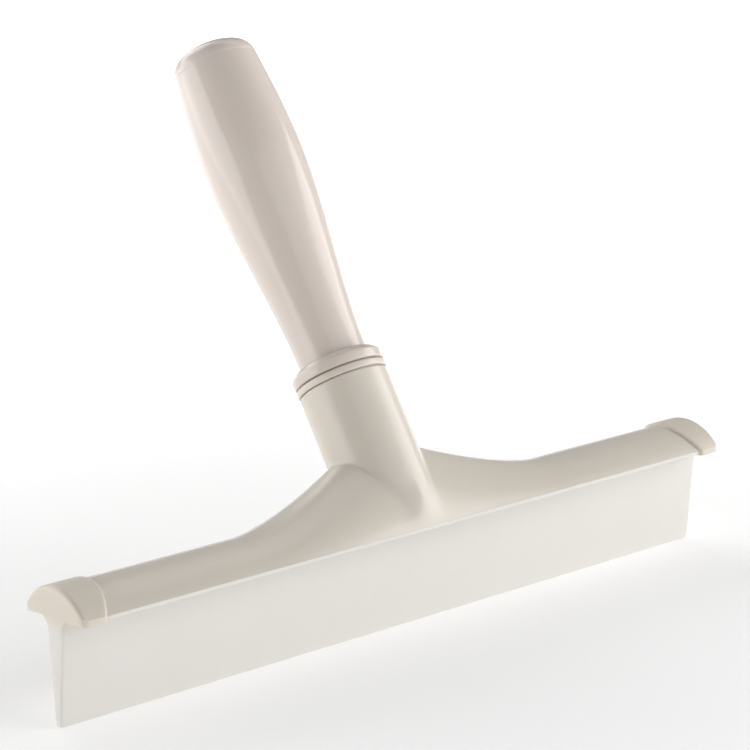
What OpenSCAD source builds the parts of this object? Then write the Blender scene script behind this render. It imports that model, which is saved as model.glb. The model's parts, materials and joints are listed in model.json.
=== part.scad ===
// Window cleaning squeegee with a short screw-in handle.
// Frame: origin at the middle of the wiping edge, +X along the head, +Y to the rear, +Z up.
// The handle leans to the rear; a place along its axis is counted from the joint, + towards the grip.

/* [Head] */
// Length of the head from end to end
head_len = 245; // [210:5:300]
// Width of the flange from lip to lip
flange_w = 27.6; // [26:0.2:32]
// Rise of the arched top above the line between its lips
arch_rise = 7; // [6:0.5:9]
// Height of that line's middle above the wiping edge
lip_z = 32.85; // [30:0.5:40]
// Fall of the flange towards the rear, in degrees
lip_fall = 6; // [0:1:8]
// Thickness of the hard arched shell
shell_t = 2.2; // [1.8:0.1:2.6]
// How far the soft bumpers stand proud of the arch
bumper_proud = 1; // [0.6:0.1:1.4]
// Length of a bumper along the lips
bumper_len = 8; // [6:1:12]
// How much further a bumper reaches along the crest
bumper_bow = 4; // [2:0.5:5]

/* [Blade] */
// Thickness of the wiping edge
edge_t = 2.5; // [2:0.1:3]
// Thickness of the blade where its fillets start
root_t = 7.4; // [6:0.2:8]
// Thickness of the soft band under the lips
band_t = 1.2; // [1:0.1:1.6]
// Radius of the fillets under the flange
fillet_r = 3.6; // [2.5:0.1:4]

/* [Handle] */
// Lean of the handle to the rear of upright, in degrees
lean = 35; // [30:1:38]
// Height of the joint's middle above the wiping edge
joint_z = 71.6; // [70:0.2:74]
// How far the joint's middle lies behind the blade
joint_y = 28.2; // [27:0.2:29]
// Outer radius of the socket tube
tube_r = 14.05; // [13.8:0.05:14.4]
// Radius of the grip at its neck
neck_r = 10.7; // [10.4:0.1:11.4]
// Radius of the grip at its belly
belly_r = 15.65; // [14.5:0.1:17]
// Length of the handle above the joint
handle_len = 112.7; // [110:0.5:120]

/* [Thread] */
// Advance of the handle for each turn
pitch = 5; // [4.5:0.5:6]
// Radius of the stem between its threads
stem_r = 9.6; // [9.2:0.1:9.8]
// Height of a thread above its wall
thread_h = 1.3; // [1:0.1:1.4]
// Gap between the stem's surfaces and the socket's
thread_gap = 0.3; // [0.25:0.05:0.4]

/* [Hidden] */
$fn = 96;
eps = 0.05;

// Arched flange, in a section plane with u to the rear and v up, whose origin is the lip line's middle
lip_u = flange_w / 2;
arch_r = (lip_u * lip_u + arch_rise * arch_rise) / (2 * arch_rise);
mid_y = 0.45;
face_r = 3;

// Bumper seams are arcs seen from above
seam_x = head_len / 2 - bumper_len - bumper_bow;
seam_r = (lip_u * lip_u + bumper_bow * bumper_bow) / (2 * bumper_bow);
tongue_inset = 0.9;
tongue_reach = 4;
far = 80;

// How far a cutting or joining shape runs past what it meets
overlap = 1;

// Ribs across the underside of the shell, each with a hole that the soft moulding fills
rib_t = 1.8;
rib_pitch = 14;
rib_count = 15;
rib_hole_r = 1.5;
rib_hole_z = lip_z + 0.3 * arch_rise;

// Saddle that carries the socket
saddle_half = 58;
saddle_rise = 13.4;
saddle_front = 15;
saddle_back = 8;
saddle_power = 1.5;
stations = 14;
arc_steps = 20;

// Socket and its joint, counted along the leaning axis
seal_t = 2.8;
seal_r = tube_r + 0.25;
seal_gap = 0.05;
socket_top = -seal_t - 2 * seal_gap;
bore_r = stem_r + thread_h + thread_gap;
bore_end = -34;
tube_end = -60;
nose_y = -12.3;
nose_full = 0.75;
nose_half = 7;
hub_lift = 0.4;
heel_r = 4;

// Middle of the round heel, which touches the rear of the tube and a plane just above the lips
flat = lean - lip_fall;
joint_u = (joint_y - mid_y) * cos(lip_fall) - (joint_z - lip_z) * sin(lip_fall);
joint_v = (joint_y - mid_y) * sin(lip_fall) + (joint_z - lip_z) * cos(lip_fall);
heel_m = tube_r - heel_r;
heel_v = hub_lift + heel_r;
heel_s = (heel_v - joint_v + heel_m * sin(flat)) / cos(flat);
heel_u = joint_u + heel_m * cos(flat) + heel_s * sin(flat);

// Threads of the stem and the socket
thread_from = -28;
thread_to = -5;
thread_lag = 1.65;
thread_short = 1;
thread_root_w = 2;
thread_crest_w = 1.1;
thread_bury = 0.6;
thread_steps = 24;
mouth_bevel = 0.8;
stem_end = -30;
stem_bore_r = 6;
stem_bevel = 0.8;
spigot_bore_r = 4;
bore_cone = 2;

// Handle
collar_r = seal_r;
collar_edge = 0.4;
collar_side = 2.4;
collar_round = 1.2;
collar_turn = 50;
collar_lip = 0.2;
collar_top = 5.1;
spigot_r = 6.4;
spigot_end = 26;
neck_s = 8;
belly_s = 72;
shoulder_s = 104.86;
shoulder_r = 13.45;
shoulder_round = 6;
dome_r = 22;
cap_line = 0.1;
cap_wall = 2;
cap_spigot = 8;
cap_seat_r = 11;
cap_play = 0.5;
cavity_top_r = 10.4;
cavity_low_r = 8.2;
cavity_low_s = 28;
grip_steps = 48;

// Draws a section in the plane across the head and sweeps it along X
module along_x(from, to) {
  translate([from, 0, 0]) rotate([90, 0, 90]) linear_extrude(to - from) children();
}

// Puts a child drawn in the flange's own u and v into the section plane
module flange_plane() {
  translate([mid_y, lip_z]) rotate(-lip_fall) children();
}

// Solid outline of the arch, grown outwards, with a skirt that hangs below its lips down to v_low
module arch_outline(grow, v_low) flange_plane() {
  half = lip_u + grow;
  intersection() {
    translate([0, arch_rise - arch_r]) circle(arch_r + grow);
    translate([-half, 0]) square([2 * half, arch_rise + abs(grow)]);
  }
  if (v_low < 0) translate([-half, v_low]) square([2 * half, -v_low + eps]);
}

// Space under the hard shell
module channel_outline() {
  flange_plane() intersection() {
    translate([0, arch_rise - arch_r]) circle(arch_r - shell_t);
    translate([-lip_u, -eps]) square([flange_w, arch_rise]);
  }
}

// One fillet between the blade's face and the flange, on the side given by dir
module fillet(dir) {
  root_z = lip_z - band_t - dir * sin(lip_fall) * root_t / 2;
  translate([dir * root_t / 2, root_z]) mirror([dir < 0 ? 1 : 0, 0]) difference() {
    translate([-overlap, -fillet_r]) square([fillet_r + overlap, fillet_r + overlap]);
    translate([fillet_r, -fillet_r]) circle(fillet_r);
  }
}

// Tapered blade with its fillets, up into the flange
module blade_outline() {
  polygon([
    [-edge_t / 2, 0],
    [edge_t / 2, 0],
    [root_t / 2, lip_z - band_t - fillet_r],
    [root_t / 2, lip_z],
    [-root_t / 2, lip_z],
    [-root_t / 2, lip_z - band_t - fillet_r]
  ]);
  difference() {
    for (dir = [-1, 1]) fillet(dir);
    flange_plane() translate([-lip_u, eps]) square([flange_w, arch_r]);
  }
}

// Upright cylinders that the bumpers' bowed seams follow
module seam_cutters() {
  for (end = [-1, 1]) translate([end * (seam_x + seam_r), 0, 0]) cylinder(h = far, r = seam_r);
}

// Plan shape of the head with rounded corners, for trimming the bumpers
module head_plan() {
  half = head_len / 2 - face_r;
  side = lip_u + bumper_proud - face_r;
  linear_extrude(far) translate([0, mid_y]) {
    for (x = [-half, half], y = [-side, side]) translate([x, y]) circle(face_r);
    square([2 * half, 2 * (side + face_r)], center = true);
    square([2 * (half + face_r), 2 * side], center = true);
  }
}

// Ribs under the shell and rooted in it, each with its anchoring hole
module ribs() {
  for (i = [0 : rib_count - 1]) {
    x = (i - (rib_count - 1) / 2) * rib_pitch;
    difference() {
      along_x(x - rib_t / 2, x + rib_t / 2) arch_outline(-shell_t / 2, 0);
      translate([x - rib_t, mid_y, rib_hole_z]) rotate([0, 90, 0])
        cylinder(h = 2 * rib_t, r = rib_hole_r);
    }
  }
}

// Outside of the hard tongues that run on within the bumpers
module tongues() {
  reach = head_len / 2 - tongue_reach;
  along_x(-reach, reach) intersection() {
    arch_outline(-tongue_inset, 0);
    flange_plane() translate([-lip_u, tongue_inset / 2]) square([flange_w, arch_rise]);
  }
}

// Space under the shell along the whole head
module channel() {
  along_x(-head_len, head_len) channel_outline();
}

// Height of the saddle's ridge above the arch at a distance x from the middle
function ridge(x) =
  let (inner = tube_r, run = 1 - (abs(x) - inner) / (saddle_half - inner))
  saddle_rise * pow(max(run, 0), saddle_power);

// Share of that height taken at a place u across the arch, none at the lips
function share(u) =
  let (front = min((u + lip_u) / saddle_front, 1), back = min((lip_u - u) / saddle_back, 1))
  sqrt(max(sin(90 * front), 0) * max(sin(90 * back), 0));

// How steeply the saddle's front stands under the socket's nose, none away from it
function fullness(x) = nose_full * exp(-pow(x / nose_half, 2));

// Place on the arch at u, as [y, z]
function arch_place(u) =
  let (v = arch_rise - arch_r + sqrt(arch_r * arch_r - u * u))
  [
    mid_y + u * cos(lip_fall) + v * sin(lip_fall),
    lip_z + v * cos(lip_fall) - u * sin(lip_fall)
  ];

// Outline of the spine at x, from the front lip over the ridge to the rear lip, as [y, z] points
function spine_outline(x) = [for (i = [0 : arc_steps])
  let (u = -lip_u * cos(180 * i / arc_steps), up = ridge(x) * share(u))
  arch_place(u) + up * [sin(lean) * pow(share(u), fullness(x)), cos(lean)]];

// Middle of the spine, swelling from the plain arch up to the socket, lofted through its outlines
module saddle() {
  size = arc_steps + 1;
  points = [for (k = [-stations : stations])
    let (x = saddle_half * k / stations)
    each [for (place = spine_outline(x)) [x, place[0], place[1]]]];
  sides = [for (k = [0 : 2 * stations - 1], i = [0 : size - 1])
    let (next = (i + 1) % size, low = k * size, high = low + size)
    each [[low + i, low + next, high + next], [low + i, high + next, high + i]]];
  ends = [
    [for (i = [size - 1 : -1 : 0]) i],
    [for (i = [0 : size - 1]) 2 * stations * size + i]
  ];
  polyhedron(points = points, faces = concat(sides, ends));
}

// Puts a child drawn about +Z onto the handle's leaning axis, with the joint at its origin
module on_axis() {
  translate([0, joint_y, joint_z]) rotate([-lean, 0, 0]) children();
}

// Side view that the socket tube is trimmed to, upright at the front and with a round heel at the rear
module hub_side() {
  intersection() {
    translate([nose_y, 0]) square(2 * far);
    union() {
      translate([joint_y, joint_z]) rotate(-lean) translate([-far, heel_s]) square([2 * far, far]);
      flange_plane() translate([-far, hub_lift]) square([heel_u + far, far]);
      flange_plane() translate([heel_u, heel_v]) circle(heel_r);
    }
  }
}

// Helical thread between a buried radius inside its wall and the radius of its crest
module thread(root_r, crest_r, from, to) {
  half_root = thread_root_w / 2;
  half_crest = thread_crest_w / 2;
  tooth = [[root_r, -half_root], [crest_r, -half_crest], [crest_r, half_crest], [root_r, half_root]];
  count = ceil((to - from) / pitch * thread_steps);
  spots = [for (k = [0 : count], p = tooth)
    let (turn = 360 * k / thread_steps, z = from + pitch * k / thread_steps)
    [p[0] * cos(turn), p[0] * sin(turn), z + p[1]]];
  sides = [for (k = [0 : count - 1], i = [0 : 3])
    let (next = (i + 1) % 4, low = 4 * k, high = low + 4)
    each [[low + i, low + next, high + next], [low + i, high + next, high + i]]];
  ends = [[3, 2, 1, 0], [4 * count, 4 * count + 1, 4 * count + 2, 4 * count + 3]];
  outward = root_r < crest_r;
  polyhedron(points = spots, faces = [for (face = concat(sides, ends))
    outward ? face : [for (i = [len(face) - 1 : -1 : 0]) face[i]]]);
}

// Smooth run between two places with given slopes
function ease(a, b, slope_a, slope_b, x) =
  let (run = b[0] - a[0], t = (x - a[0]) / run)
  a[1] * (2 * t * t * t - 3 * t * t + 1) + b[1] * (3 * t * t - 2 * t * t * t)
  + run * (slope_a * (t * t * t - 2 * t * t + t) + slope_b * (t * t * t - t * t));

// Radius of the grip at the place s along the axis
function grip_r(s) = s < neck_s ? neck_r
  : s < belly_s ? ease([neck_s, neck_r], [belly_s, belly_r], 0.03, 0, s)
  : ease([belly_s, belly_r], [shoulder_s, shoulder_r], 0, -0.1, s);

// Points [radius, place] of a round arc about a centre, between two angles from the radius's direction
function arc(centre, r, from, to, steps) = [for (i = [0 : steps])
  let (a = from + (to - from) * i / steps) centre + r * [cos(a), sin(a)]];

// Hard spine, saddle and threaded socket
module head_frame() color("ghostwhite") {
  difference() {
    union() {
      difference() {
        for (end = [0, 1]) mirror([end, 0, 0])
          along_x(saddle_half, head_len / 2) polygon(spine_outline(saddle_half));
        seam_cutters();
      }
      tongues();
      saddle();
      intersection() {
        on_axis() translate([0, 0, tube_end]) cylinder(h = socket_top - tube_end, r = tube_r);
        along_x(-tube_r - overlap, tube_r + overlap) hub_side();
      }
    }
    channel();
    on_axis() translate([0, 0, bore_end]) cylinder(h = -bore_end, r = bore_r);
    on_axis() translate([0, 0, socket_top - mouth_bevel])
      cylinder(h = mouth_bevel + eps, r1 = bore_r - eps, r2 = bore_r + mouth_bevel);
  }
  ribs();
  on_axis() thread(bore_r + thread_bury, bore_r - thread_h, thread_from + thread_lag,
    thread_to - thread_short);
}

// Soft blade moulded into the spine's channel, with the bumpers at its ends
module squeegee_blade() color("whitesmoke") difference() {
  union() {
    along_x(-seam_x - bumper_bow, seam_x + bumper_bow) {
      channel_outline();
      difference() {
        arch_outline(0, -band_t);
        flange_plane() translate([-lip_u, 0]) square([flange_w, arch_r]);
      }
    }
    along_x(-head_len / 2, head_len / 2) blade_outline();
    intersection() {
      along_x(-head_len / 2, head_len / 2) arch_outline(bumper_proud, -band_t - bumper_proud / 2);
      seam_cutters();
      head_plan();
    }
  }
  difference() {
    tongues();
    channel();
  }
  ribs();
}

// Soft ring squeezed between the socket's rim and the handle's collar
module joint_seal() color("gainsboro") on_axis() difference() {
  translate([0, 0, -seal_t - seal_gap]) cylinder(h = seal_t, r = seal_r);
  translate([0, 0, -seal_t - overlap]) cylinder(h = seal_t + 2 * overlap, r = stem_r + seal_gap);
}

// Threaded stem with the collar that closes the joint and the spigot that carries the grip
module threaded_stem() color("snow") on_axis() {
  rotate_extrude() polygon(concat(
    [[stem_bore_r, stem_end], [stem_r - stem_bevel, stem_end], [stem_r, stem_end + stem_bevel]],
    [[stem_r, 0], [collar_r - collar_edge, 0]],
    arc([collar_r - collar_edge, collar_edge], collar_edge, -90, 0, 4),
    arc([collar_r - collar_round, collar_side - collar_round / 2], collar_round, 0, collar_turn, 6),
    [[neck_r + collar_lip, collar_top], [spigot_r, collar_top], [spigot_r, spigot_end]],
    [[spigot_bore_r, spigot_end], [spigot_bore_r, bore_cone], [stem_bore_r, 0]]
  ));
  thread(stem_r - thread_bury, stem_r + thread_h, thread_from, thread_to);
}

// Hollow grip that a hand closes around, with a seat for its cap at the top
module grip_shell() color("snow") on_axis() rotate_extrude() {
  top = shoulder_s - cap_line;
  seat = shoulder_s - cap_spigot - cap_play;
  polygon(concat(
    [[spigot_r, collar_top], [neck_r, collar_top]],
    [for (i = [0 : grip_steps]) let (s = neck_s + (top - neck_s) * i / grip_steps) [grip_r(s), s]],
    [[cap_seat_r, top], [cap_seat_r, seat], [cavity_top_r, seat]],
    [[cavity_low_r, cavity_low_s], [spigot_r, cavity_low_s - 1]]
  ));
}

// Domed cap that closes the top of the grip
module grip_end_cap() color("snow") on_axis() rotate_extrude() {
  round_c = [shoulder_r - shoulder_round, shoulder_s];
  dome_c = [0, handle_len - dome_r];
  turn = atan2(shoulder_s - dome_c[1], round_c[0]);
  inner_r = cap_seat_r - cap_wall;
  polygon(concat(
    [[inner_r, shoulder_s - cap_spigot], [cap_seat_r, shoulder_s - cap_spigot], [cap_seat_r, shoulder_s]],
    arc(round_c, shoulder_round, 0, turn, 10),
    arc(dome_c, dome_r, turn, 90, 10),
    arc(dome_c, dome_r - cap_wall, 90, acos(inner_r / (dome_r - cap_wall)), 6)
  ));
}

head_frame();
squeegee_blade();
joint_seal();
threaded_stem();
grip_shell();
grip_end_cap();
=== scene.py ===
"""The looks of a moulded window cleaning squeegee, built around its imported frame.

Lengths are in millimetres up to the mesh, and the mesh is in metres. A section of the head lies in the
plane across it, as (y, z). The flange has its own u, to the rear, and v, up, tilted to the rear by
LIP_FALL. A turned piece is drawn as (radius, place), with its place counted along the handle's axis from
the joint, upwards.
"""

import json
import math

import bmesh
import bpy
import numpy as np
from mathutils import Matrix, Vector
from mathutils.bvhtree import BVHTree


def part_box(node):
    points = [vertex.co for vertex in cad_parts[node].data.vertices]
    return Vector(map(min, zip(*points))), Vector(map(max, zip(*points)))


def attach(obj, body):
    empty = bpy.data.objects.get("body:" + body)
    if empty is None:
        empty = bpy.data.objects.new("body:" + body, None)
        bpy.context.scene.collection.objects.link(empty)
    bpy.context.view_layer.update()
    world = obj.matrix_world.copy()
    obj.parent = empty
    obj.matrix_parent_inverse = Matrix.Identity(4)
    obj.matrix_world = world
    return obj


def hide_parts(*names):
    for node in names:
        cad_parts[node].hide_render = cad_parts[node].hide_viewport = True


MM = 0.001
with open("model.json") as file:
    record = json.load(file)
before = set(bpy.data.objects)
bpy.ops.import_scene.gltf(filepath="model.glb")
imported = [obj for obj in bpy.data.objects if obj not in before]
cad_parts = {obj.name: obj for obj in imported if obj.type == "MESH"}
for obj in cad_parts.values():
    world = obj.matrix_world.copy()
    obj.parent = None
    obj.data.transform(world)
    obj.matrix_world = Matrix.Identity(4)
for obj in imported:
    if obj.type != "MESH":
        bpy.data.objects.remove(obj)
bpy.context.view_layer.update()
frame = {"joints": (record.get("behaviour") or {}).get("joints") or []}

# Head
HEAD_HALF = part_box("squeegee_blade")[1].x / MM
LIP_U = 13.8  # half the width from lip to lip
LIP_Z = 32.85  # height of the middle of the line between the lips
MID_Y = 0.45  # how far that middle lies behind the blade
LIP_FALL = math.radians(6)  # fall of that line to the rear
ARCH_RISE = 7.0
ARCH_R = (LIP_U**2 + ARCH_RISE**2) / (2 * ARCH_RISE)
SADDLE_HALF = 58.0  # half the length of the saddle
SADDLE_RISE = 13.4
SADDLE_FRONT = 15.0  # width over which it rises from the front lip
SADDLE_BACK = 8.0  # width over which it falls to the rear lip
SADDLE_POWER = 1.5
SPINE_REACH = 15.2  # half the width of its rough outline, which is cut off at the lips
SPINE_STEPS = 110
SPINE_STATIONS = 246
SPINE_VOXEL = 0.6

# Soft moulding
EDGE_T = 2.5  # thickness of the wiping edge
ROOT_T = 7.4  # thickness of the blade at its fillets
BAND_T = 1.2  # thickness of the soft band under the lips
BAND_SINK = 0.02  # gap between the band's top and the lips
FILLET_R = 3.6
TIP_R = 0.25
EDGE_R = 0.42
EDGE_R_LEAST = 0.12
BUMPER_PROUD = 0.9
BUMPER_BOW = 4.0  # how much further the bumper reaches along the crest
SEAM_X = HEAD_HALF - 12.0
SEAM_R = (LIP_U**2 + BUMPER_BOW**2) / (2 * BUMPER_BOW)
SEAM_GAP = 0.04
SEAM_STEPS = 512
SEAM_CUT_TOP = 90.0
STEP_R = 0.65  # round of the step up to the bumper
RIM_R = 1.3  # round of the bumper's end
FACE_R = 2.2  # round of the bumper's end at the lips

# Handle
HINGE = next(j for j in frame["joints"] if j["type"] == "hinge")
JOINT = np.array(HINGE["pos_m"]) / MM
AXIS = np.array(HINGE["axis"])
LEAN = math.atan2(AXIS[1], AXIS[2])
REARWARD = np.array([0.0, math.cos(LEAN), -math.sin(LEAN)])
TUBE_R = 14.05
BORE_R = 11.2
BORE_END = -34.0
BORE_CHAMFER = 0.9
SOCKET_TOP = -2.9  # the place of its rim on the axis
SOCKET_ROUND = 0.6
CUT_OVER = 2.0  # how far a cutter stands past what it cuts
HUB_TOP = 3.0
HUB_END = -66.0
NOSE_Y = -12.3  # the upright front of the socket
NOSE_SOFT = 0.8  # rounding between that front and the tube
NOSE_FULL = 0.85  # steepness of the saddle's front under the nose
NOSE_HALF = 4.5  # and how far to each side it goes
FLANK_FULL = 0.25  # steepness beside the nose
FLANK_HALF = 22.0
HEEL_V = 0.3  # height above the lips at which the tube ends
HEEL_SOFT = 2.6  # rounding of the tube there
BLEND = 0.3  # rounding between the tube and the saddle
SETTLE_ROUNDS = 4
SETTLE_LEAST = 0.2  # keeps a step short where the two surfaces face each other
PITCH = 5.0
THREAD_H = 1.3
THREAD_FROM = -28.0
THREAD_TO = -5.0
THREAD_LAG = 1.65  # how far the socket's thread lies above the stem's
THREAD_FOOT = 1.0  # half the width of a thread at its wall
THREAD_CREST = 0.55  # and at its crest
THREAD_ROUND = 0.25
THREAD_SUNK = 0.6  # how deep its foot stands in the wall
FADE_TURNS = 0.25  # a thread fades out over this part of a turn
FADE_LEAST = 0.35  # share of its height left where it ends
STEM_R = 9.6
STEM_END = -30.0
STEM_CHAMFER = 0.8
STEM_BORE_R = 6.0
SEAL_LOW = -2.85  # places of the lower and upper face of the seal
SEAL_HIGH = -0.05
COLLAR_R = 14.3
COLLAR_STEP = 3.0  # where the collar starts to draw in
COLLAR_TOP = 5.1
NECK_R = 10.7
NECK_S = 8.0
NECK_SLOPE = 0.03
BELLY_R = 15.65
BELLY_S = 72.0
SHOULDER_R = 13.45
SHOULDER_S = 104.86
SHOULDER_SLOPE = -0.1
SHOULDER_ROUND = 6.0
DOME_R = 22.0
HANDLE_LEN = 112.7
SPIGOT_R = 6.4
SPIGOT_END = 26.0
SPIGOT_BORE_R = 4.0
CAP_SEAT_R = 11.0
CAP_SEAT_S = 96.4
CAP_WALL = 2.0
CAP_SKIRT = 8.0
CAP_LINE = 0.02  # the hairline between the grip and its cap


# Meshes


def mesh_object(name, points, faces):
    """A mesh object from points in millimetres."""
    mesh = bpy.data.meshes.new(name)
    mesh.from_pydata([tuple(np.asarray(p) * MM) for p in points], [], faces)
    mesh.validate()
    obj = bpy.data.objects.new(name, mesh)
    bpy.context.scene.collection.objects.link(obj)
    return obj


def smooth(obj, angle=32):
    """Smooth shading, with edges sharper than the angle kept sharp."""
    for polygon in obj.data.polygons:
        polygon.use_smooth = True
    obj.data.set_sharp_from_angle(angle=math.radians(angle))


def apply_modifiers(obj):
    """Puts the object's modifiers into its mesh."""
    graph = bpy.context.evaluated_depsgraph_get()
    mesh = bpy.data.meshes.new_from_object(obj.evaluated_get(graph))
    obj.modifiers.clear()
    old = obj.data
    obj.data = mesh
    bpy.data.meshes.remove(old)


def combine(obj, other, operation):
    """Joins, cuts or intersects the object with another, which is used up."""
    modifier = obj.modifiers.new("combine", "BOOLEAN")
    modifier.operation = operation
    modifier.solver = "MANIFOLD"
    modifier.object = other
    apply_modifiers(obj)
    bpy.data.objects.remove(other)


def loft(name, loops):
    """A closed solid through closed loops of points, with flat ends."""
    size = len(loops[0])
    points = [p for loop in loops for p in loop]
    faces = []
    for low in range(0, size * (len(loops) - 1), size):
        for i in range(size):
            j = (i + 1) % size
            faces.append((low + i, low + j, low + size + j, low + size + i))
    faces.append(tuple(range(size - 1, -1, -1)))
    faces.append(tuple(range(len(points) - size, len(points))))
    return mesh_object(name, points, faces)


def recalculate(obj):
    """Turns all faces outwards."""
    bm = bmesh.new()
    bm.from_mesh(obj.data)
    bmesh.ops.recalc_face_normals(bm, faces=bm.faces)
    bm.to_mesh(obj.data)
    bm.free()


def rounded(corners, steps=6):
    """Points along a run of corners (a, b, radius), with an arc at each one that has a radius."""
    out = []
    for i, (a, b, radius) in enumerate(corners):
        here = np.array([a, b], float)
        if not radius or i in (0, len(corners) - 1):
            out.append(here)
            continue
        to_last = np.array(corners[i - 1][:2]) - here
        to_next = np.array(corners[i + 1][:2]) - here
        to_last /= np.linalg.norm(to_last)
        to_next /= np.linalg.norm(to_next)
        half = math.acos(np.clip(to_last @ to_next, -1, 1)) / 2
        middle = (to_last + to_next) / np.linalg.norm(to_last + to_next)
        centre = here + middle * radius / math.sin(half)
        start = here + to_last * radius / math.tan(half) - centre
        end = here + to_next * radius / math.tan(half) - centre
        turn = math.atan2(start[0] * end[1] - start[1] * end[0], start @ end)
        for k in range(steps + 1):
            c, s = math.cos(turn * k / steps), math.sin(turn * k / steps)
            out.append(centre + [start[0] * c - start[1] * s, start[0] * s + start[1] * c])
    return out


def arc(centre, radius, start, end, steps):
    """Places on a round arc, with its angles counted from the first of its two directions."""
    angles = np.linspace(start, end, steps + 1)
    return [(centre[0] + radius * math.cos(a), centre[1] + radius * math.sin(a)) for a in angles]


def on_axis(x, m, s):
    """The place x to the right, m to the rear and s along the handle's axis, from the joint."""
    return JOINT + np.array([x, 0, 0]) + m * REARWARD + s * AXIS


def turned(name, profile, segments=144):
    """A closed solid turned about the handle's axis. A profile may also start and end on the axis."""
    closed = profile[0][0] > 0
    points = []
    rings = []
    for r, s in profile:
        count = segments if r > 0 else 1
        angles = [2 * math.pi * k / segments for k in range(count)]
        rings.append(range(len(points), len(points) + count))
        points += [on_axis(r * math.cos(a), r * math.sin(a), s) for a in angles]
    faces = []
    for low, high in zip(rings, rings[1:] + rings[:1] if closed else rings[1:]):
        for k in range(segments):
            j = (k + 1) % segments
            quad = [low[k % len(low)], low[j % len(low)], high[j % len(high)], high[k % len(high)]]
            faces.append(tuple(dict.fromkeys(quad)))
    obj = mesh_object(name, points, faces)
    recalculate(obj)
    return obj


def helix(name, root_r, crest_r, start, end, steps=72):
    """A thread of trapezoid section, rounded on its crest, that fades into its wall at both ends."""
    count = int((end - start) / PITCH * steps)
    loops = []
    for k in range(count + 1):
        fade = min(1, k / steps / FADE_TURNS, (count - k) / steps / FADE_TURNS)
        crest = root_r + (crest_r - root_r) * (FADE_LEAST + (1 - FADE_LEAST) * fade)
        corners = [(root_r, -THREAD_FOOT, 0), (crest, -THREAD_CREST, THREAD_ROUND),
                   (crest, THREAD_CREST, THREAD_ROUND), (root_r, THREAD_FOOT, 0)]
        section = rounded(corners, 3)
        turn = 2 * math.pi * k / steps
        place = start + PITCH * k / steps
        loops.append(
            [on_axis(r * math.cos(turn), r * math.sin(turn), place + s) for r, s in section]
        )
    obj = loft(name, loops)
    recalculate(obj)
    return obj


# Head


def flange(u, v):
    """The flange's own place as (y, z)."""
    c, s = math.cos(LIP_FALL), math.sin(LIP_FALL)
    return np.array([MID_Y + u * c + v * s, LIP_Z + v * c - u * s])


def arch(half, radius, steps):
    """Places over the arch from its front to its rear, as (u, v)."""
    reach = math.asin(half / radius)
    angles = np.linspace(-reach, reach, steps + 1)
    return [(radius * math.sin(a), ARCH_RISE - ARCH_R + radius * math.cos(a)) for a in angles]


def ridge(x):
    """Height of the saddle above the arch, x from the middle."""
    run = 1 - (abs(x) - TUBE_R) / (SADDLE_HALF - TUBE_R)
    return SADDLE_RISE * max(run, 0) ** SADDLE_POWER


def share(u):
    """Share of that height taken at a place u across the arch, none at and below its lips."""
    front = np.clip((u + LIP_U) / SADDLE_FRONT, 0, 1)
    back = np.clip((LIP_U - u) / SADDLE_BACK, 0, 1)
    return math.sqrt(math.sin(math.pi / 2 * front) * math.sin(math.pi / 2 * back))


def fullness(x):
    """How steeply the saddle's front stands under the socket's nose and on its flanks."""
    nose = NOSE_FULL * math.exp(-((x / NOSE_HALF) ** 2))
    return nose + FLANK_FULL * math.exp(-((x / FLANK_HALF) ** 2))


def spine_loop(x):
    """Outline of the spine at x, carried on below its lips so that they can be cut clean."""
    loop = []
    for u, v in arch(SPINE_REACH, ARCH_R, SPINE_STEPS):
        y, z = flange(u, v)
        part = share(u) if v > 0 else 0
        up = ridge(x) * part
        loop.append((x, y + up * AXIS[1] * part ** fullness(x), z + up * AXIS[2]))
    return loop


def hub_solid():
    """A rough solid that holds the socket tube, cut off upright at its nose and level under its heel."""
    tube = turned("hub", [(0, HUB_TOP), (TUBE_R, HUB_TOP), (TUBE_R, HUB_END), (0, HUB_END)])
    rear, top, half = 60, 95, 20
    side = [(NOSE_Y, LIP_Z + 1), (rear, LIP_Z - 6), (rear, top), (NOSE_Y, top)]
    box = loft("trim", [[(x, y, z) for y, z in side] for x in (-half, half)])
    recalculate(box)
    combine(tube, box, "INTERSECT")
    return tube


def soft_max(a, b, k):
    """The larger of two distances, and the shares of each in it, rounded over k."""
    h = np.clip(1 - np.abs(a - b) / k, 0, 1)
    share_a = np.where(a > b, 1 - h / 2, h / 2)
    return np.maximum(a, b) + h * h * k / 4, share_a


def hub_distance(points):
    """Distance of points from the socket tube's surface with its rounded nose and heel, and its slope."""
    rel = points - JOINT
    along = rel @ AXIS
    radial = rel - along[:, None] * AXIS
    length = np.linalg.norm(radial, axis=1)
    tube, tube_way = length - TUBE_R, radial / length[:, None]
    front = NOSE_Y - points[:, 1]
    front_way = np.array([0.0, -1.0, 0.0])
    up = np.array([0.0, math.sin(LIP_FALL), math.cos(LIP_FALL)])
    heel = HEEL_V - (points - [0, MID_Y, LIP_Z]) @ up
    nose, a = soft_max(tube, front, NOSE_SOFT)
    nose_way = a[:, None] * tube_way + (1 - a)[:, None] * front_way
    whole, b = soft_max(nose, heel, HEEL_SOFT)
    return whole, b[:, None] * nose_way - (1 - b)[:, None] * up


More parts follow.
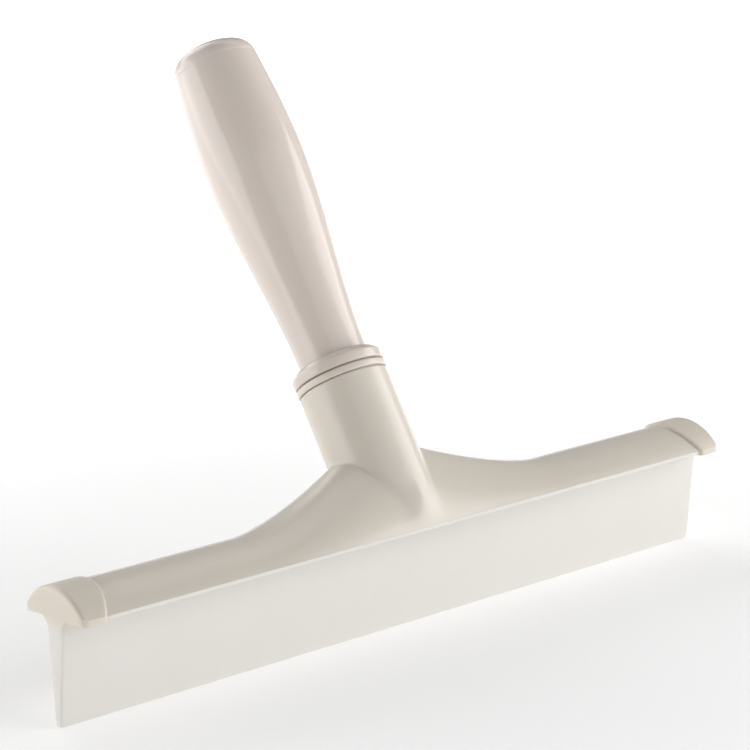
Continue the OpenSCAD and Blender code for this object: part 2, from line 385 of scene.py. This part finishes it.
def settle(obj, spine):
    """Moves every vertex on to the surface where spine and hub blend into each other, in a few rounds."""
    tree = BVHTree.FromPolygons(
        [v.co / MM for v in spine.data.vertices], [p.vertices for p in spine.data.polygons]
    )
    co = np.zeros(len(obj.data.vertices) * 3)
    obj.data.vertices.foreach_get("co", co)
    points = co.reshape(-1, 3) / MM
    for _ in range(SETTLE_ROUNDS):
        near = [tree.find_nearest(Vector(p)) for p in points]
        spine_way = np.array([n[1] for n in near])
        gap = points - np.array([n[0] for n in near])
        spine_d = (gap * spine_way).sum(1)
        hub_d, hub_way = hub_distance(points)
        whole, a = soft_max(-spine_d, -hub_d, BLEND)
        way = a[:, None] * spine_way + (1 - a)[:, None] * hub_way
        points = points + (whole / (way * way).sum(1).clip(SETTLE_LEAST))[:, None] * way
    obj.data.vertices.foreach_set("co", (points * MM).ravel())


def cut(obj, place, normal):
    """Cuts off what lies beyond a plane, and closes the cut."""
    bm = bmesh.new()
    bm.from_mesh(obj.data)
    geometry = bm.verts[:] + bm.edges[:] + bm.faces[:]
    bmesh.ops.bisect_plane(
        bm, geom=geometry, plane_co=Vector(place) * MM, plane_no=Vector(normal), clear_outer=True
    )
    rim = [e for e in bm.edges if e.is_boundary]
    bmesh.ops.edgeloop_fill(bm, edges=rim)
    bm.to_mesh(obj.data)
    bm.free()


def spine_solid():
    """The arched spine with its saddle, from end to end."""
    stations = np.linspace(-HEAD_HALF, HEAD_HALF, SPINE_STATIONS)
    spine = loft("spine", [spine_loop(x) for x in stations])
    recalculate(spine)
    return spine


def even_mesh(obj):
    """Gives the object an even mesh, fine enough for its blends."""
    voxels = obj.modifiers.new("voxels", "REMESH")
    voxels.mode = "VOXEL"
    voxels.voxel_size = SPINE_VOXEL * MM
    apply_modifiers(obj)


def cut_seams(obj):
    """Cuts both ends of the spine to the round seams that the bumpers are moulded on to."""
    radius = SEAM_R + SEAM_GAP
    ring = [2 * math.pi * k / SEAM_STEPS for k in range(SEAM_STEPS)]
    for end in (-1, 1):
        centre = end * (SEAM_X + SEAM_R)
        disc = [(centre + radius * math.cos(a), radius * math.sin(a)) for a in ring]
        cutter = loft("seam", [[(x, y, z) for x, y in disc] for z in (0, SEAM_CUT_TOP)])
        combine(obj, cutter, "DIFFERENCE")


def cut_bore(obj):
    """Cuts the socket's bore, with a chamfer at its mouth."""
    mouth = BORE_R + BORE_CHAMFER
    corners = [(0, CUT_OVER, 0), (mouth + 1.4, CUT_OVER, 0), (mouth, SOCKET_TOP, 0.3),
               (BORE_R, SOCKET_TOP - BORE_CHAMFER, 0.3), (BORE_R, BORE_END, 0), (0, BORE_END, 0)]
    combine(obj, turned("bore", rounded(corners)), "DIFFERENCE")


def round_rim(obj):
    """Rounds the outer edge of the socket's rim."""
    outer, above = TUBE_R + CUT_OVER, SOCKET_TOP + CUT_OVER
    centre = (TUBE_R - SOCKET_ROUND, SOCKET_TOP - SOCKET_ROUND)
    profile = [(outer, above), (centre[0], above)]
    profile += arc(centre, SOCKET_ROUND, math.pi / 2, 0, 6)
    profile.append((outer, centre[1]))
    combine(obj, turned("rim", profile), "DIFFERENCE")


def head_frame():
    """The hard spine with its saddle and threaded socket, in one moulding."""
    spine = spine_solid()
    obj = mesh_object("head_frame_moulding", [v.co / MM for v in spine.data.vertices],
                      [tuple(p.vertices) for p in spine.data.polygons])
    combine(obj, hub_solid(), "UNION")
    even_mesh(obj)
    settle(obj, spine)
    bpy.data.objects.remove(spine)
    cut(obj, (0, *flange(0, 0)), (0, -math.sin(LIP_FALL), -math.cos(LIP_FALL)))
    cut(obj, on_axis(0, 0, SOCKET_TOP), AXIS)
    cut_seams(obj)
    cut_bore(obj)
    round_rim(obj)
    start, end = THREAD_FROM + THREAD_LAG, THREAD_TO - 1
    thread = helix("thread", BORE_R + THREAD_SUNK, BORE_R - THREAD_H, start, end)
    combine(obj, thread, "UNION")
    smooth(obj)
    return obj


# Soft moulding


def seam(y):
    """How far from the middle the bowed seam lies at a place y across the head."""
    return SEAM_X + SEAM_R - math.sqrt(SEAM_R**2 - y * y)


def soft_side(side, half, low, inset):
    """Outline of one side of the soft moulding, from the blade's tip to the flange's lip, as (y, z)."""
    lean_in = 0.3 * inset
    slope = (ROOT_T - EDGE_T) / 2 / (LIP_Z - BAND_T - FILLET_R)
    root_z = flange(side * ROOT_T / 2, low)[1]
    tip = (side * (EDGE_T / 2 - lean_in), lean_in)
    root = (side * (EDGE_T / 2 + slope * root_z - lean_in), root_z)
    middle = ((tip[0] + root[0]) / 2, (tip[1] + root[1]) / 2)
    lip = flange(side * half, low)
    top = flange(side * half, low + 1)
    fillet = FILLET_R + 0.4 * inset
    edge = max(EDGE_R - 0.3 * inset, EDGE_R_LEAST)
    blade = rounded([(0, tip[1], 0), (*tip, TIP_R), (*middle, 0)], 3)
    return blade + rounded([(*middle, 0), (*root, fillet), (*lip, edge), (*top, 0)], 10)[1:-1]


def soft_section(proud, inset, capped, drawn_in=0.0):
    """Outline of the soft moulding from the blade's tip round the flange, as (y, z).

    A section is inset all round, or drawn in further at its lips. Past the flange's ends it is capped.
    """
    half = LIP_U + proud - max(inset, drawn_in)
    low = -BAND_T - proud / 2 + inset
    steps = 44
    if capped:
        over = [flange(u, v) for u, v in arch(half, ARCH_R + proud - inset, steps)]
    else:
        over = [flange(u, -BAND_SINK) for u in np.linspace(-half, half, steps + 1)]
    left = soft_side(-1, half, low, inset)
    right = soft_side(1, half, low, inset)
    return left + over + right[::-1][:-1]


def band_rows():
    """Sections of the blade and its band, from beside the middle to the seam."""
    band = soft_section(0, 0, False)
    return [[(seam(y) * t, y, z) for y, z in band] for t in np.linspace(0, 1, 13)[1:]]


def step_rows():
    """Sections over the rounded step, at the seam, from the flange up to the bumper."""
    rows = []
    for turn in np.linspace(0, math.pi / 2, 6):
        proud = BUMPER_PROUD - STEP_R + STEP_R * math.sin(turn)
        back = STEP_R * (1 - math.cos(turn))
        rows.append([(seam(y) + back, y, z) for y, z in soft_section(proud, 0, True)])
    return rows


def bumper_rows():
    """Sections of the bumper from its step on, drawn in over its rounded end."""
    rows = []
    straight = HEAD_HALF - FACE_R
    whole = soft_section(BUMPER_PROUD, 0, True)
    for t in (0.25, 0.5, 0.75):
        rows.append([(seam(y) + STEP_R + (straight - seam(y) - STEP_R) * t, y, z) for y, z in whole])
    for turn in np.linspace(0, math.pi / 2, 17):
        x = straight + FACE_R * math.sin(turn)
        rise = math.asin(max(x - HEAD_HALF + RIM_R, 0) / RIM_R)
        inset = RIM_R * (1 - math.cos(rise))
        section = soft_section(BUMPER_PROUD, inset, True, FACE_R * (1 - math.cos(turn)))
        rows.append([(x, y, z) for y, z in section])
    return rows


def squeegee_blade():
    """The soft blade with the band under the flange's lips and the bumpers at its ends."""
    rows = band_rows() + step_rows() + bumper_rows()
    middle = [[(0, y, z) for y, z in soft_section(0, 0, False)]]
    other = [[(-x, y, z) for x, y, z in row] for row in rows[::-1]]
    obj = loft("squeegee_blade_moulding", other + middle + rows)
    recalculate(obj)
    smooth(obj)
    return obj


# Handle


def ease(a, b, slope_a, slope_b, x):
    """A smooth run between two places with given slopes."""
    run = b[0] - a[0]
    t = (x - a[0]) / run
    level = a[1] * (2 * t**3 - 3 * t**2 + 1) + b[1] * (3 * t**2 - 2 * t**3)
    return level + run * (slope_a * (t**3 - 2 * t**2 + t) + slope_b * (t**3 - t**2))


def grip_r(s):
    """Radius of the grip at the place s."""
    neck, belly, shoulder = (NECK_S, NECK_R), (BELLY_S, BELLY_R), (SHOULDER_S, SHOULDER_R)
    if s < NECK_S:
        return NECK_R
    if s < BELLY_S:
        return ease(neck, belly, NECK_SLOPE, 0, s)
    return ease(belly, shoulder, 0, SHOULDER_SLOPE, s)


def joint_seal():
    """The soft ring between the socket's rim and the collar, with a groove at each of its edges."""
    inner = STEM_R + 0.05
    low_r, low_s = TUBE_R - 1.0, SEAL_LOW + 0.25
    high_r, high_s = COLLAR_R - 1.4, SEAL_HIGH - 0.4
    corners = [(inner, -1.5, 0), (inner, SEAL_LOW, 0.2), (low_r, SEAL_LOW, 0.1), (low_r, low_s, 0.1),
               (COLLAR_R, low_s, 0.5), (COLLAR_R, high_s - 0.05, 0.5), (high_r, high_s, 0.1),
               (high_r, SEAL_HIGH, 0.1), (inner, SEAL_HIGH, 0.2), (inner, -1.4, 0)]
    obj = turned("joint_seal_ring", rounded(corners))
    smooth(obj)
    return obj


def threaded_stem():
    """The threaded stem with its collar and the spigot that carries the grip."""
    corners = [(STEM_BORE_R, -1, 0), (STEM_BORE_R, STEM_END, 0.2), (STEM_R - STEM_CHAMFER, STEM_END, 0.2),
               (STEM_R, STEM_END + STEM_CHAMFER, 0.2), (STEM_R, 0, 0.2), (COLLAR_R, 0, 0.45),
               (COLLAR_R, COLLAR_STEP, 1.1), (COLLAR_R - 1.5, COLLAR_STEP + 1.4, 1.6),
               (NECK_R + 0.3, COLLAR_TOP, 0.5), (SPIGOT_R, COLLAR_TOP, 0.1), (SPIGOT_R, SPIGOT_END, 0.5),
               (SPIGOT_BORE_R, SPIGOT_END, 0.2), (SPIGOT_BORE_R, 2, 0.5), (STEM_BORE_R, 0, 0.3),
               (STEM_BORE_R, -0.9, 0)]
    obj = turned("threaded_stem_turning", rounded(corners))
    thread = helix("thread", STEM_R - THREAD_SUNK, STEM_R + THREAD_H, THREAD_FROM, THREAD_TO)
    combine(obj, thread, "UNION")
    smooth(obj)
    return obj


def grip_shell():
    """The hollow grip, with a seat for its cap."""
    top = SHOULDER_S - CAP_LINE
    core_top_r, core_end_r = 10.4, 8.2
    outside = [(grip_r(s), s) for s in np.linspace(NECK_S, top - CAP_LINE, 90)]
    inside = rounded([(CAP_SEAT_R, top, 0), (CAP_SEAT_R, CAP_SEAT_S, 0.3), (core_top_r, CAP_SEAT_S, 0.3),
                      (core_end_r, SPIGOT_END + 2, 1), (SPIGOT_R, SPIGOT_END + 1, 0.5),
                      (SPIGOT_R, COLLAR_TOP, 0)])
    profile = [(NECK_R, COLLAR_TOP)] + outside + [(grip_r(top) - CAP_LINE, top)] + inside
    obj = turned("grip_shell_moulding", profile)
    smooth(obj)
    return obj


def grip_end_cap():
    """The domed cap that closes the top of the grip, with a skirt that stands in the grip's seat."""
    dome = (0, HANDLE_LEN - DOME_R)
    shoulder = (SHOULDER_R - SHOULDER_ROUND, SHOULDER_S)
    turn = math.atan2(shoulder[1] - dome[1], shoulder[0])
    skirt_r = CAP_SEAT_R - CAP_WALL
    skirt_end = SHOULDER_S - CAP_SKIRT
    inner_r = DOME_R - CAP_WALL
    outside = arc(dome, DOME_R, math.pi / 2, turn, 24)[1:] + arc(shoulder, SHOULDER_ROUND, turn, 0.02, 20)
    skirt = [(SHOULDER_R - CAP_LINE, SHOULDER_S), (CAP_SEAT_R, SHOULDER_S), (CAP_SEAT_R, skirt_end),
             (skirt_r, skirt_end)]
    inside = arc(dome, inner_r, math.acos(skirt_r / inner_r), math.pi / 2, 12)[:-1]
    crown, ceiling = (0, HANDLE_LEN), (0, dome[1] + inner_r)
    obj = turned("grip_end_cap_moulding", [crown] + outside + skirt + inside + [ceiling])
    smooth(obj)
    return obj


# Materials

POLYMER_IOR = 1.49
SCATTER = (1.0, 0.8, 0.6)
SCATTER_SCALE = 0.002
GLOSS_SPREAD = 0.02
WAVE_DEPTH = 0.0004


def node(tree, kind, **values):
    """A shader node with its settings and socket values."""
    made = tree.nodes.new(kind)
    for key, value in values.items():
        if key in made.inputs:
            made.inputs[key].default_value = value
        else:
            setattr(made, key, value)
    return made


def noise(tree, place, **values):
    """A noise texture over the piece's own places."""
    made = node(tree, "ShaderNodeTexNoise", **values)
    tree.links.new(place.outputs["Object"], made.inputs["Vector"])
    return made


def moulded(name, colour, tint, rough, grain, depth, softness):
    """Moulded polymer: mottled colour, uneven gloss, a fine grain and the slow waves of a moulding."""
    material = bpy.data.materials.new(name)
    material.use_nodes = True
    tree = material.node_tree
    link = tree.links.new
    shader = tree.nodes["Principled BSDF"]
    shader.inputs["Subsurface Weight"].default_value = softness
    shader.inputs["Subsurface Radius"].default_value = SCATTER
    shader.inputs["Subsurface Scale"].default_value = SCATTER_SCALE
    shader.inputs["IOR"].default_value = POLYMER_IOR
    place = node(tree, "ShaderNodeTexCoord")

    cloud = noise(tree, place, Scale=38.0, Detail=3.0, Roughness=0.55)
    mottle = node(tree, "ShaderNodeMix", data_type="RGBA")
    mottle.inputs["A"].default_value = (*colour, 1)
    mottle.inputs["B"].default_value = (*tint, 1)
    link(cloud.outputs["Fac"], mottle.inputs["Factor"])
    link(mottle.outputs["Result"], shader.inputs["Base Color"])

    sheen = noise(tree, place, Scale=120.0, Detail=4.0, Roughness=0.6)
    gloss = node(tree, "ShaderNodeMapRange")
    gloss.inputs["To Min"].default_value = rough - GLOSS_SPREAD
    gloss.inputs["To Max"].default_value = rough + GLOSS_SPREAD
    link(sheen.outputs["Fac"], gloss.inputs["Value"])
    link(gloss.outputs["Result"], shader.inputs["Roughness"])

    fine = noise(tree, place, Scale=grain, Detail=2.0, Roughness=0.5)
    waves = noise(tree, place, Scale=55.0, Detail=1.0, Roughness=0.4)
    broad = node(tree, "ShaderNodeBump", Strength=0.04, Distance=WAVE_DEPTH)
    close = node(tree, "ShaderNodeBump", Strength=0.3, Distance=depth)
    link(waves.outputs["Fac"], broad.inputs["Height"])
    link(fine.outputs["Fac"], close.inputs["Height"])
    link(broad.outputs["Normal"], close.inputs["Normal"])
    link(close.outputs["Normal"], shader.inputs["Normal"])
    return material


def fade_in(tree, low, high):
    """A node that goes from 0 to 1 over a run in millimetres."""
    run = node(tree, "ShaderNodeMapRange", interpolation_type="SMOOTHSTEP")
    run.inputs["From Min"].default_value = low * MM
    run.inputs["From Max"].default_value = high * MM
    return run


def warm_ends(material, colour):
    """Turns the soft moulding warmer in the thick bumpers, past the bowed seams and above the band."""
    tree = material.node_tree
    link = tree.links.new
    shader = tree.nodes["Principled BSDF"]
    base = shader.inputs["Base Color"].links[0].from_socket
    place = node(tree, "ShaderNodeTexCoord")
    parts = node(tree, "ShaderNodeSeparateXYZ")
    link(place.outputs["Object"], parts.inputs["Vector"])

    length = node(tree, "ShaderNodeMath", operation="ABSOLUTE")
    link(parts.outputs["X"], length.inputs[0])
    square = node(tree, "ShaderNodeMath", operation="MULTIPLY")
    link(parts.outputs["Y"], square.inputs[0])
    link(parts.outputs["Y"], square.inputs[1])
    bow = node(tree, "ShaderNodeMath", operation="MULTIPLY")
    bow.inputs[1].default_value = 1 / (2 * SEAM_R * MM)
    link(square.outputs["Value"], bow.inputs[0])
    past = node(tree, "ShaderNodeMath", operation="SUBTRACT")
    link(length.outputs["Value"], past.inputs[0])
    link(bow.outputs["Value"], past.inputs[1])

    outward = fade_in(tree, SEAM_X - 0.6, SEAM_X)
    upward = fade_in(tree, LIP_Z - 6, LIP_Z)
    both = node(tree, "ShaderNodeMath", operation="MULTIPLY")
    link(past.outputs["Value"], outward.inputs["Value"])
    link(parts.outputs["Z"], upward.inputs["Value"])
    link(outward.outputs["Result"], both.inputs[0])
    link(upward.outputs["Result"], both.inputs[1])

    blend = node(tree, "ShaderNodeMix", data_type="RGBA")
    blend.inputs["B"].default_value = (*colour, 1)
    link(both.outputs["Value"], blend.inputs["Factor"])
    link(base, blend.inputs["A"])
    link(blend.outputs["Result"], shader.inputs["Base Color"])


def dress(obj, material, body, node_name):
    """Gives a piece its material and body, and lets it stand for its solid."""
    obj.data.materials.clear()
    obj.data.materials.append(material)
    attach(obj, body)
    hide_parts(node_name)


HARD = moulded("hard_polymer", (0.695, 0.64, 0.56), (0.71, 0.655, 0.577),
               rough=0.24, grain=2600, depth=0.00002, softness=0.12)
GRIP = moulded("grip_polymer", (0.695, 0.617, 0.56), (0.707, 0.633, 0.575),
               rough=0.15, grain=2400, depth=0.00001, softness=0.12)
SOFT = moulded("soft_polymer", (0.755, 0.732, 0.69), (0.77, 0.75, 0.715),
               rough=0.4, grain=3200, depth=0.00003, softness=0.25)
RING = moulded("ring_polymer", (0.72, 0.65, 0.575), (0.735, 0.67, 0.60),
               rough=0.4, grain=3200, depth=0.00003, softness=0.2)
warm_ends(SOFT, (0.70, 0.64, 0.55))

dress(head_frame(), HARD, "head", "head_frame")
dress(squeegee_blade(), SOFT, "head", "squeegee_blade")
dress(joint_seal(), RING, "seal", "joint_seal")
dress(threaded_stem(), GRIP, "handle", "threaded_stem")
dress(grip_shell(), GRIP, "handle", "grip_shell")
dress(grip_end_cap(), GRIP, "handle", "grip_end_cap")


# Camera and studio

AZIMUTH = 0.69427  # of the camera, in radians from the front towards the left end of the head
ELEVATION = 0.27484
ROLL = -0.00293
DISTANCE = 789.4  # from the camera to the target
TARGET = np.array([-5.84, 0.0, 80.47])
LENS = 129.5856
SHIFT = (-0.0130, -0.0071)
FAR_CLIP = 50
LIGHT_CENTRE = (0, 0.03, 0.08)  # lights are placed and sized in metres
LIGHT_DISTANCE = 1.2
HORIZON = 0.34  # greys of the surroundings, from the horizon up
WALL = 0.26
OVERHEAD = 0.02
FLOOR_HALF = 8000
FLOOR_GLOW = 0.31  # of the floor under the object, up to GLOW_FROM from the middle
FAR_GLOW = 0.85  # of the floor past GLOW_TO
GLOW_FROM = 90
GLOW_TO = 550


def camera_basis():
    """The camera's right, up and backward directions."""
    flat = math.cos(ELEVATION)
    back = np.array([-math.sin(AZIMUTH) * flat, -math.cos(AZIMUTH) * flat, math.sin(ELEVATION)])
    level = np.cross(-back, [0, 0, 1])
    level /= np.linalg.norm(level)
    upright = np.cross(level, -back)
    right = math.cos(ROLL) * level + math.sin(ROLL) * upright
    return right, np.cross(back, right), back


def camera():
    """The camera, in front of the head, to its left and a little above it."""
    right, up, back = camera_basis()
    data = bpy.data.cameras.new("camera")
    data.lens = LENS
    data.shift_x, data.shift_y = SHIFT
    data.clip_end = FAR_CLIP
    obj = bpy.data.objects.new("camera", data)
    bpy.context.scene.collection.objects.link(obj)
    place = (TARGET + DISTANCE * back) * MM
    rows = [[right[i], up[i], back[i], place[i]] for i in range(3)] + [[0, 0, 0, 1]]
    obj.matrix_world = Matrix(rows)
    bpy.context.scene.camera = obj


def softbox(name, turn, rise, width, tall, power):
    """A soft area light that faces the object, turned to the right of the camera and raised."""
    place = AZIMUTH - math.radians(turn)
    up = math.radians(rise)
    data = bpy.data.lights.new(name, "AREA")
    data.shape = "RECTANGLE"
    data.size, data.size_y = width, tall
    data.energy = power
    obj = bpy.data.objects.new(name, data)
    bpy.context.scene.collection.objects.link(obj)
    way = Vector((-math.sin(place) * math.cos(up), -math.cos(place) * math.cos(up), math.sin(up)))
    obj.location = Vector(LIGHT_CENTRE) + LIGHT_DISTANCE * way
    obj.rotation_euler = way.to_track_quat("Z", "Y").to_euler()


def sky():
    """A studio's surroundings, pale at the horizon and darker overhead."""
    world = bpy.data.worlds.new("sky")
    world.use_nodes = True
    tree = world.node_tree
    place = node(tree, "ShaderNodeTexCoord")
    height = node(tree, "ShaderNodeSeparateXYZ")
    tree.links.new(place.outputs["Generated"], height.inputs["Vector"])
    ramp = node(tree, "ShaderNodeValToRGB")
    for at, grey in ((0.0, HORIZON), (0.25, HORIZON), (0.35, WALL), (0.6, WALL), (0.7, OVERHEAD)):
        stop = ramp.color_ramp.elements[0] if at == 0 else ramp.color_ramp.elements.new(at)
        stop.position = at
        stop.color = (grey, grey, grey, 1)
    ramp.color_ramp.elements.remove(ramp.color_ramp.elements[-1])
    tree.links.new(height.outputs["Z"], ramp.inputs["Fac"])
    tree.links.new(ramp.outputs["Color"], tree.nodes["Background"].inputs["Color"])
    bpy.context.scene.world = world


def floor_white():
    """White that glows more away from the object, so that the floor runs out of sight."""
    material = bpy.data.materials.new("floor_white")
    material.use_nodes = True
    tree = material.node_tree
    shader = tree.nodes["Principled BSDF"]
    shader.inputs["Base Color"].default_value = (0.8, 0.8, 0.8, 1)
    shader.inputs["Roughness"].default_value = 0.9
    shader.inputs["Specular IOR Level"].default_value = 0
    shader.inputs["Emission Color"].default_value = (1, 1, 1, 1)
    place = node(tree, "ShaderNodeTexCoord")
    reach = node(tree, "ShaderNodeVectorMath", operation="LENGTH")
    glow = fade_in(tree, GLOW_FROM, GLOW_TO)
    glow.inputs["To Min"].default_value = FLOOR_GLOW
    glow.inputs["To Max"].default_value = FAR_GLOW
    tree.links.new(place.outputs["Object"], reach.inputs[0])
    tree.links.new(reach.outputs["Value"], glow.inputs["Value"])
    tree.links.new(glow.outputs["Result"], shader.inputs["Emission Strength"])
    return material


def studio():
    """A white floor and soft lights at the left, the right, above the front and behind."""
    half = FLOOR_HALF
    corners = [(-half, -half, 0), (half, -half, 0), (half, half, 0), (-half, half, 0)]
    floor = mesh_object("floor", corners, [(0, 1, 2, 3)])
    floor.data.materials.append(floor_white())
    sky()
    softbox("left_softbox", -88, 12, 1.8, 0.7, 9.0)
    softbox("left_rear_softbox", -144, 34, 0.7, 0.9, 4.1)
    softbox("right_softbox", 92, 16, 1.5, 0.8, 11.8)
    softbox("front_softbox", 44, 44, 1.5, 0.5, 2.1)
    softbox("rear_softbox", 165, 60, 0.8, 0.6, 1.8)


camera()
studio()
bpy.context.scene.view_settings.view_transform = "Standard"
